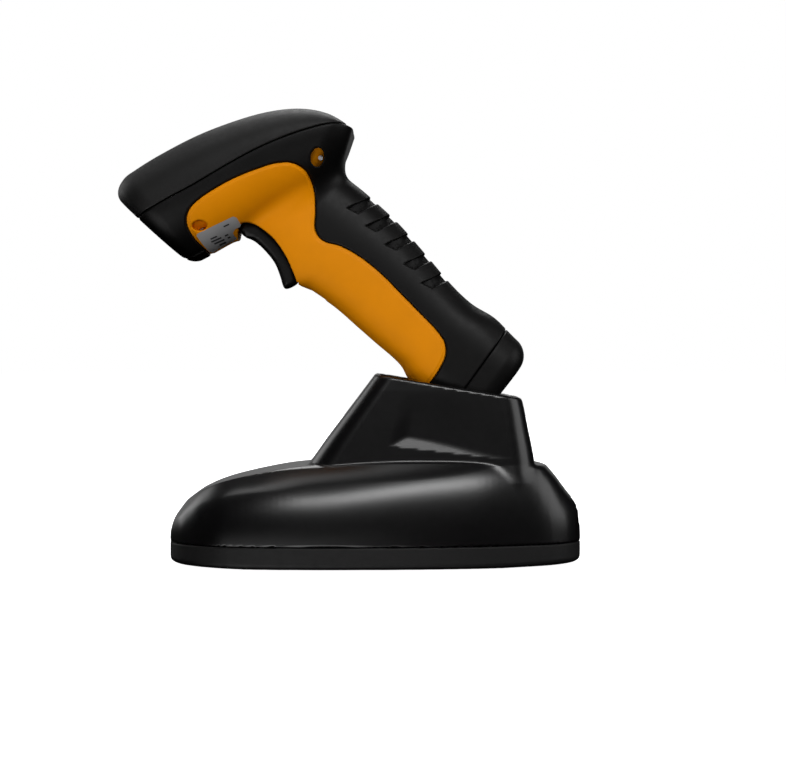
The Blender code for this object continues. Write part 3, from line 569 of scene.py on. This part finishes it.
# ---------------------------------------------------------------- cradle

SEAM_Z = 11.0
PLAN = [(-86.2, 0), (-85.9, 5.2), (-84.8, 12.4), (-80.8, 21.4), (-75.8, 27.4), (-68.6, 33.0),
        (-56.2, 38.6), (-35.5, 42.0), (-6.0, 42.9), (30.0, 41.4), (60.0, 37.4), (82.0, 31.0),
        (93.0, 26.8), (98.6, 23.4), (103.4, 19.0), (107.6, 12.8), (109.7, 7.2), (110.38, 2.4),
        (110.4, 0)]
# Height of the moulding on the middle line if the flat top were left off.
CROWN = [(-86.2, 11.2), (-85.7, 16.2), (-83.6, 22.6), (-80.2, 28.0), (-75.8, 33.2), (-68.6, 39.6),
         (-56.2, 46.2), (-35.5, 51.6), (-6.0, 54.6), (30.0, 57.4), (60.0, 59.0), (80.0, 58.0),
         (88.0, 54.2), (93.1, 49.2), (97.9, 43.0), (100.8, 38.6), (104.6, 33.6), (108.0, 29.6),
         (109.6, 24.6), (110.4, 11.2)]
PLATEAU = [(-78.6, 0), (-77.6, 7.0), (-74.6, 13.0), (-69.0, 18.4), (-60.0, 22.6), (-44.0, 26.2),
           (-24.0, 28.2), (0.0, 29.2), (30.0, 29.8), (60.0, 29.4), (80.0, 27.8), (88.0, 24.0),
           (92.4, 15.4), (94.0, 0)]
TOP_LINE = [(-90.0, 22.0), (-80.0, 29.0), (-75.8, 32.1), (-68.6, 36.7), (-56.2, 41.2), (-35.5, 45.8),
            (-19.0, 48.0), (10.0, 49.3), (50.0, 49.4), (80.0, 48.8), (93.1, 47.2), (115, 44.0)]


def table(points, steps=8):
    """A curve as two lists, for reading the second from the first."""
    curve = spline(points, steps)
    return curve[:, 0], curve[:, 1]


plan_x, plan_y = table(PLAN)
crown_x, crown_z = table(CROWN)
top_x, top_z = table(TOP_LINE)
plan_area = Region(np.vstack([spline(PLAN), (spline(PLAN) * (1, -1))[::-1][1:-1]]), 0.5, 8)
plateau_area = Region(np.vstack([spline(PLATEAU), (spline(PLATEAU) * (1, -1))[::-1][1:-1]]), 0.5, 40)
NECK_FRONT = [(-26.4, 40.0), (-19.4, 48.2), (-11.8, 58.8), (-4.0, 69.2), (3.6, 79.2), (10.5, 88.4),
              (17.2, 97.4)]
NECK_REAR = [(89.0, 40.0), (87.8, 47.4), (86.4, 55.6), (84.6, 64.2), (82.8, 73.4), (81.3, 79.8),
             (78.0, 94.0)]
NECK_HALF = [(40.0, 29.8), (48.0, 28.6), (67.0, 27.4), (83.0, 26.3), (97.0, 25.0)]
front_x, front_z = table(NECK_FRONT, 4)
rear_x, rear_z = table(NECK_REAR, 4)
cup_area = Region([(13.4, 110.0), (13.9, 91.5), (14.6, 88.4), (37.0, 70.6), (49.5, 59.8), (59.2, 61.2),
                   (69.8, 75.6), (79.0, 78.8), (79.6, 84.0), (79.6, 110.0)], 0.4, 6)
PANEL_CORNER = (17.5, 57.2)
CUP_HALF, CUP_CORNER = 24.0, 7
SHELL = 2.6
PORT_FROM, PORT_Z, PORT_HALF = 98, 25.2, (6.5, 6.1)
FEET = [(-56, -24), (-56, 24), (78, -17), (78, 17)]
BASE_SCREWS = [(-44, -22), (-44, 22), (68, -21), (68, 21)]
# The way that the scanner leaves the cup, from its floor along the handle.
END_IN = np.array([-0.8102, 0.5861])


def neck(x, y, z):
    """The leaning column that holds the cup, without its side panels."""
    lead, trail = np.interp(z, front_z, front_x), np.interp(z, rear_z, rear_x)
    half = np.interp(z, [h for h, _ in NECK_HALF], [w for _, w in NECK_HALF])
    corner = np.interp(z, (45.0, 90.0), (13.5, 10.0))
    # The walls lean, so the level distance is scaled to the true one.
    return rounded_box(x - (lead + trail) / 2, y, (trail - lead) / 2, half, corner) * 0.86


def pressed(x, z):
    """How far the side panel lies below the neck: soft in front, with a clear sloping ledge under it."""
    over = plane(x, z, PANEL_CORNER, (0.114, 0.9935))
    behind = plane(x, z, PANEL_CORNER, (0.973, -0.23))
    depth = 1.15 * smooth((84 - z) / 28) * smooth((82 - x) / 64)
    depth = depth * smooth(behind / 10)
    return np.maximum(either(depth, 0.17 * over, 0.25), 0)


def rim(x, z):
    """The sloping top of the neck."""
    return plane(x, z, (11.6, 91.0), (11.6, 70.0))


def cradle_form(x, y, z):
    """The lower body of the cradle with its flat top and sloping ledge."""
    width = np.interp(x, plan_x, plan_y) + 1e-3
    rise = np.interp(x, crown_x, crown_z) - SEAM_Z + 1e-3
    up = np.maximum(z - SEAM_Z, 0) + 1e-4
    power = 2.6 + 0.3 * smooth((x + 20) / 60)
    q = ((np.abs(y) / width) ** power + (up / rise) ** power) ** (1 / power)
    body = np.maximum(np.hypot(y, up) * (1 - 1 / np.maximum(q, 1e-5)), np.maximum(-86.1 - x, x - 110.36))
    drop = np.maximum(plateau_area(x, y), 0)
    slope = 0.60 + 0.28 * smooth((x + 60) / 35)
    ledge = (z - np.interp(x, top_x, top_z) + slope * drop) / np.sqrt(1 + slope * slope)
    return both(body, ledge, 1.5)


def cradle_top_field(x, y, z):
    """The upper moulding: a hollow body with the neck, cup, two pin bores and opening for the socket."""
    body = cradle_form(x, y, z)
    column = both(neck(x, y, z) + pressed(x, z), rim(x, z), 1.3)
    outer = either(body, column, 1.0)
    cup_wall = both(cup_area(x, z) - 2.2, np.abs(y) - CUP_HALF - 1.2, CUP_CORNER)
    # The walls are thicker at both ends, where the form closes quickly.
    wall = SHELL + 9 * smooth((-68 - x) / 14) + 5 * smooth((x - 92) / 12)
    inside = np.maximum(np.minimum(body, neck(x, y, z)) + wall, plan_area(x, y) + 3.2)
    hollow = np.maximum(inside, -cup_wall)
    field = np.maximum(outer, -hollow)
    field = less(field, both(cup_area(x, z), np.abs(y) - CUP_HALF, CUP_CORNER), 0.8)
    field = both(field, SEAM_Z + 0.15 - z, 0.45)
    along = (x - PAD_AT[0]) * -END_IN[1] + (z - PAD_AT[1]) * END_IN[0]
    out = (x - PAD_AT[0]) * -END_IN[0] + (z - PAD_AT[1]) * -END_IN[1]
    bore = np.minimum(np.hypot(along, y - PAD_SIDE), np.hypot(along, y + PAD_SIDE)) - 1.7
    field = less(field, np.maximum(bore, np.abs(out - 2) - 7), 0.15)
    port = np.maximum(np.maximum(np.abs(y) - PORT_HALF[0], np.abs(z - PORT_Z) - PORT_HALF[1]), PORT_FROM - x)
    return less(field, port, 0.5)


def cradle_base_field(x, y, z):
    """The lower moulding: a tray with recesses for the feet and the screws."""
    side = plan_area(x, y) + 0.05
    lift = np.interp(np.abs(x - 12), (60, 96), (0.02, 0.13))
    low = 0.35 + lift * np.clip(side + 9, 0, 9) - z
    form = both(both(side, low, 2.6), z - SEAM_Z + 0.15, 0.45)
    field = np.maximum(form, -np.maximum(side + SHELL, 3.4 - z))
    for at_x, at_y in FEET:
        field = less(field, np.maximum(np.hypot(x - at_x, y - at_y) - 6.4, z - 2.6), 0.2)
    for at_x, at_y in BASE_SCREWS:
        field = less(field, np.maximum(np.hypot(x - at_x, y - at_y) - 3.2, z - 2.9), 0.2)
        field = less(field, np.hypot(x - at_x, y - at_y) - 1.5, 0.1)
    return field


# ---------------------------------------------------------------- finishes


class Finish:
    """A procedural material: colour, roughness and relief all vary over the surface."""

    def __init__(self, name, colour, roughness, metallic=0.0, shades=0.12, mottle=60.0, wear=0.05,
                 grain=1400.0, relief=0.00004, strength=0.35, **direct):
        self.material = bpy.data.materials.new(name)
        self.material.use_nodes = True
        self.nodes, self.links = self.material.node_tree.nodes, self.material.node_tree.links
        self.shader = self.nodes["Principled BSDF"]
        self.place = self.nodes.new("ShaderNodeTexCoord").outputs["Object"]
        self.shader.inputs["Metallic"].default_value = metallic
        for key, value in direct.items():
            self.shader.inputs[key.replace("_", " ")].default_value = value
        broad = self.noise(mottle, 4)
        base = Vector(colour)
        self.colour = self.ramp(broad, [(0.3, base * (1 - shades)), (0.7, base * (1 + shades))])
        scuffs = self.noise(mottle * 5, 6, 0.65)
        rough = self.nodes.new("ShaderNodeMapRange")
        rough.inputs["From Min"].default_value, rough.inputs["From Max"].default_value = 0.32, 0.70
        rough.inputs["To Min"].default_value = roughness - wear
        rough.inputs["To Max"].default_value = roughness + wear
        self.links.new(scuffs, rough.inputs["Value"])
        self.rough = rough.outputs["Result"]
        self.links.new(self.rough, self.shader.inputs["Roughness"])
        self.height = self.noise(grain, 3, 0.6)
        self.bump = self.nodes.new("ShaderNodeBump")
        self.bump.inputs["Distance"].default_value = relief
        self.bump.inputs["Strength"].default_value = strength
        self.links.new(self.height, self.bump.inputs["Height"])
        self.links.new(self.bump.outputs["Normal"], self.shader.inputs["Normal"])
        self.links.new(self.colour, self.shader.inputs["Base Color"])

    def noise(self, scale, detail=3.0, roughness=0.5):
        node = self.nodes.new("ShaderNodeTexNoise")
        node.inputs["Scale"].default_value = scale
        node.inputs["Detail"].default_value = detail
        node.inputs["Roughness"].default_value = roughness
        self.links.new(self.place, node.inputs["Vector"])
        return node.outputs["Fac"]

    def ramp(self, factor, stops):
        node = self.nodes.new("ShaderNodeValToRGB")
        for k, (at, colour) in enumerate(stops):
            stop = node.color_ramp.elements[k] if k < 2 else node.color_ramp.elements.new(at)
            stop.position = at
            stop.color = (*colour, 1)
        self.links.new(factor, node.inputs["Fac"])
        return node.outputs["Color"]


FINISH = {
    "cover": Finish("grained_cover_plastic", (0.0064, 0.0062, 0.0062), 0.56, grain=2600,
                    relief=0.00007, strength=0.5, wear=0.05, Specular_IOR_Level=0.26),
    "black": Finish("black_body_plastic", (0.0038, 0.0036, 0.0036), 0.46, grain=2200, relief=0.00005,
                    wear=0.04, Specular_IOR_Level=0.15),
    "yellow": Finish("yellow_housing_plastic", (0.72, 0.240, 0.0002), 0.50, shades=0.04, grain=2000,
                     relief=0.00004, wear=0.05, Specular_IOR_Level=0.08),
    "trigger": Finish("trigger_plastic", (0.0060, 0.0058, 0.0058), 0.42, grain=2200, relief=0.00004,
                      Specular_IOR_Level=0.16),
    "cradle": Finish("satin_cradle_plastic", (0.0030, 0.0028, 0.0031), 0.29,
                     grain=1100, relief=0.00001, strength=0.12, wear=0.012),
    "base": Finish("matt_base_plastic", (0.0046, 0.0044, 0.0046), 0.60, grain=2400, relief=0.00006,
                   strength=0.5, Specular_IOR_Level=0.3),
    "rubber": Finish("foot_rubber", (0.020, 0.020, 0.020), 0.82, grain=900, relief=0.0001),
    "steel": Finish("zinc_plated_steel", (0.56, 0.56, 0.58), 0.34, 1.0, shades=0.08, grain=500),
    "gold": Finish("gold_plated_contact", (0.80, 0.56, 0.22), 0.26, 1.0, shades=0.06, grain=700),
    "board": Finish("green_circuit_board", (0.022, 0.115, 0.045), 0.42, shades=0.18, mottle=400, grain=800),
    "component": Finish("component_plastic", (0.016, 0.016, 0.017), 0.5, grain=1200),
    "window": Finish("red_exit_window", (0.085, 0.004, 0.006), 0.07, shades=0.10, wear=0.02, grain=200,
                     relief=0.00001, strength=0.1),
    "engine": Finish("cast_engine_metal", (0.42, 0.42, 0.44), 0.45, 1.0, grain=700, relief=0.00006),
    "light": Finish("smoked_light_pipe", (0.10, 0.12, 0.10), 0.16, shades=0.08, wear=0.03, grain=300),
    "wrap": Finish("battery_wrap", (0.03, 0.10, 0.30), 0.38, grain=400),
    "ink": Finish("label_ink", (0.012, 0.012, 0.012), 0.5, grain=900, relief=0.00001, strength=0.1),
    "label": Finish("silver_label", (0.36, 0.362, 0.37), 0.46, shades=0.08, wear=0.08, grain=900,
                    relief=0.00002),
}

NODE_FINISH = {
    "rubber": [f"foot_{a}_{b}" for a in ("front", "rear") for b in ("left", "right")] + ["window_gasket"],
    "steel": [f"base_screw_{a}_{b}" for a in ("front", "rear") for b in ("left", "right")]
    + ["ballast_plate", "battery_spring", "housing_screw_left", "housing_screw_right", "lanyard_bar",
       "processor_shield", "radio_module", "trigger_pin", "trigger_spring", "contact_spring_left",
       "contact_spring_right"],
    "gold": ["battery_contact_plate", "charge_pad_left", "charge_pad_right", "contact_pin_left",
             "contact_pin_right"],
    "board": ["cradle_board", "main_board", "trigger_board"],
    "component": ["battery_carrier", "beeper", "cable_port", "contact_block", "switch_plunger",
                  "trigger_switch"],
    "engine": ["engine_bracket", "scan_engine"],
    "window": ["exit_window", "engine_lens"],
    "light": ["status_light_pipe"],
    "wrap": ["battery_cell"],
}
# The CAD solids that stay, most of them hidden inside, take their finishes here.
for finish, names in NODE_FINISH.items():
    for name in names:
        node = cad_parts[name]
        node.data.materials.clear()
        node.data.materials.append(FINISH[finish].material)

# ---------------------------------------------------------------- pieces

# Grid steps in millimetres, which keep every piece under 200,000 triangles.
FINE = 0.68
COARSE = 0.96
TRIGGER_STEP = 0.5


moulded("top_cover_shell", top_cover_field, (-113, -37, 150), (6, 37, 219), FINE,
        "top_cover", "scanner", "cover")
moulded("scanner_body_shell", body_field, (-113, -37, 68), (80, 37, 212), FINE,
        "body_shell", "scanner", "black")
moulded("yellow_front_housing", front_field, (-79, -37, 70), (50, 37, 201), FINE,
        "front_housing", "scanner", "yellow")
moulded("handle_end_cap", cap_field, (40, -25, 58), (88, 25, 118), FINE,
        "end_cap", "scanner", "black")
moulded("trigger_blade", trigger_field, (-56, -16, 128), (-20, 16, 171), TRIGGER_STEP,
        "trigger", "trigger", "trigger")
patch("rating_label_sheet", label_area, (-75, 147), (-50, 167), 0.45, (0.03, 0.16),
      "scanner", "label", "rating_label")


def bar(start, end, width):
    """The outline of a straight bar in the side view."""
    a, b = np.array(start, float), np.array(end, float)
    side = np.array([-(b - a)[1], (b - a)[0]]) / np.hypot(*(b - a)) * width / 2
    return [a + side, b + side, b - side, a - side]


LABEL_RIGHT, LABEL_DOWN = np.array([0.909, 0.417]), np.array([0.417, -0.909])
# Print on the label: how far down each row lies, and where its bars start and end.
PRINT_ROWS = [(1.9, [(12.2, 15.0)]), (4.4, [(4.0, 7.4)]), (5.6, [(3.6, 8.8), (10.6, 12.4)]),
              (6.8, [(4.4, 9.6), (11.2, 12.6)]), (8.0, [(6.2, 9.4)])]
PRINT_WIDTH = 0.62
ink_bars = [(down, first, last) for down, places in PRINT_ROWS for first, last in places]
for number, (down, first, last) in enumerate(ink_bars):
    row = np.array(LABEL[1]), LABEL_DOWN * down
    ends = row[0] + LABEL_RIGHT * first + row[1], row[0] + LABEL_RIGHT * last + row[1]
    patch(f"label_print_{number}", Region(bar(*ends, PRINT_WIDTH), 0.1, 2), np.minimum(*ends) - 0.8,
          np.maximum(*ends) + 0.8, 0.2, (0.15, 0.19), "scanner", "ink")
moulded("cradle_upper_moulding", cradle_top_field, (-88, -45, 9), (113, 45, 94), COARSE,
        "cradle_top", "cradle", "cradle")
moulded("cradle_lower_moulding", cradle_base_field, (-88, -45, 0), (113, 45, 13), COARSE,
        "cradle_base", "cradle", "base")

# ---------------------------------------------------------------- floor, light and camera


def floor_mesh():
    """A white floor just under the feet, which the object neither reflects nor is lit by."""
    mesh = bpy.data.meshes.new("studio_floor")
    bm = bmesh.new()
    reach, level = 6.0, -0.0004
    quarters = (-1, -1), (1, -1), (1, 1), (-1, 1)
    bm.faces.new([bm.verts.new((sx * reach, sy * reach, level)) for sx, sy in quarters])
    bm.to_mesh(mesh)
    bm.free()
    floor = bpy.data.objects.new("studio_floor", mesh)
    bpy.context.scene.collection.objects.link(floor)
    paper = Finish("pale_floor", (0.90, 0.90, 0.90), 0.9, shades=0.01, mottle=3, grain=200, relief=0.00002)
    paper.shader.inputs["Emission Color"].default_value = (1, 1, 1, 1)
    paper.shader.inputs["Emission Strength"].default_value = 1.0
    mesh.materials.append(paper.material)
    floor.visible_glossy = False
    floor.visible_diffuse = False


def area_light(name, at, target, size, power, size_y=None, glossy=True):
    """A rectangular lamp that faces its target. With glossy off it leaves no reflection."""
    data = bpy.data.lights.new(name, "AREA")
    data.shape = "RECTANGLE"
    data.size, data.size_y = size, size_y or size
    data.energy = power
    lamp = bpy.data.objects.new(name, data)
    lamp.location = at
    lamp.rotation_euler = (Vector(target) - Vector(at)).to_track_quat("-Z", "Y").to_euler()
    lamp.visible_glossy = glossy
    bpy.context.scene.collection.objects.link(lamp)


def white_world(strength):
    """A white surround, kept off the object's surfaces."""
    world = bpy.data.worlds.new("studio")
    world.use_nodes = True
    background = world.node_tree.nodes["Background"]
    background.inputs["Color"].default_value = (1, 1, 1, 1)
    background.inputs["Strength"].default_value = strength
    world.cycles_visibility.diffuse = False
    world.cycles_visibility.glossy = False
    bpy.context.scene.world = world


def camera():
    """A camera one metre away at half the object's height, tilted slightly down."""
    data = bpy.data.cameras.new("camera")
    data.lens, data.sensor_width = 95.4, 36.0
    data.clip_start, data.clip_end = 0.05, 50
    cam = bpy.data.objects.new("camera", data)
    cam.location = (0.0206, -1.0, 0.1066)
    cam.rotation_euler = (radians(90 - 1.2), 0, 0)
    bpy.context.scene.collection.objects.link(cam)
    bpy.context.scene.camera = cam


floor_mesh()
white_world(1.0)
area_light("key_softbox", (0.22, -1.20, 0.92), (0, 0, 0.1), 0.95, 13.5, 0.34)
area_light("overhead_softbox", (-0.3, 0.15, 1.4), (-0.1, 0, 0.1), 1.3, 7, 0.7)
area_light("right_softbox", (1.5, -0.3, 0.6), (0, 0, 0.1), 1.1, 8)
area_light("left_softbox", (-1.3, 0.9, 0.7), (0, 0, 0.1), 0.9, 5)
area_light("front_fill", (-0.1, -1.9, 0.12), (0, 0, 0.1), 1.2, 6, None, False)
area_light("low_fill", (-0.4, -0.9, -0.6), (-0.1, 0, 0.15), 1.0, 9)
area_light("left_low_fill", (-1.6, 0.1, -0.1), (-0.1, 0, 0.15), 1.0, 11, None, False)
area_light("rear_fill", (0.3, 1.9, 0.3), (0, 0, 0.1), 1.2, 8, None, False)
area_light("back_card", (-0.2, 1.6, 0.35), (0, 0, 0.05), 2.4, 1.6, 0.6)
area_light("rear_softbox", (0.1, 1.3, 1.3), (0, 0, 0.1), 1.1, 9, 0.7)
camera()
bpy.context.scene.view_settings.view_transform = "Standard"
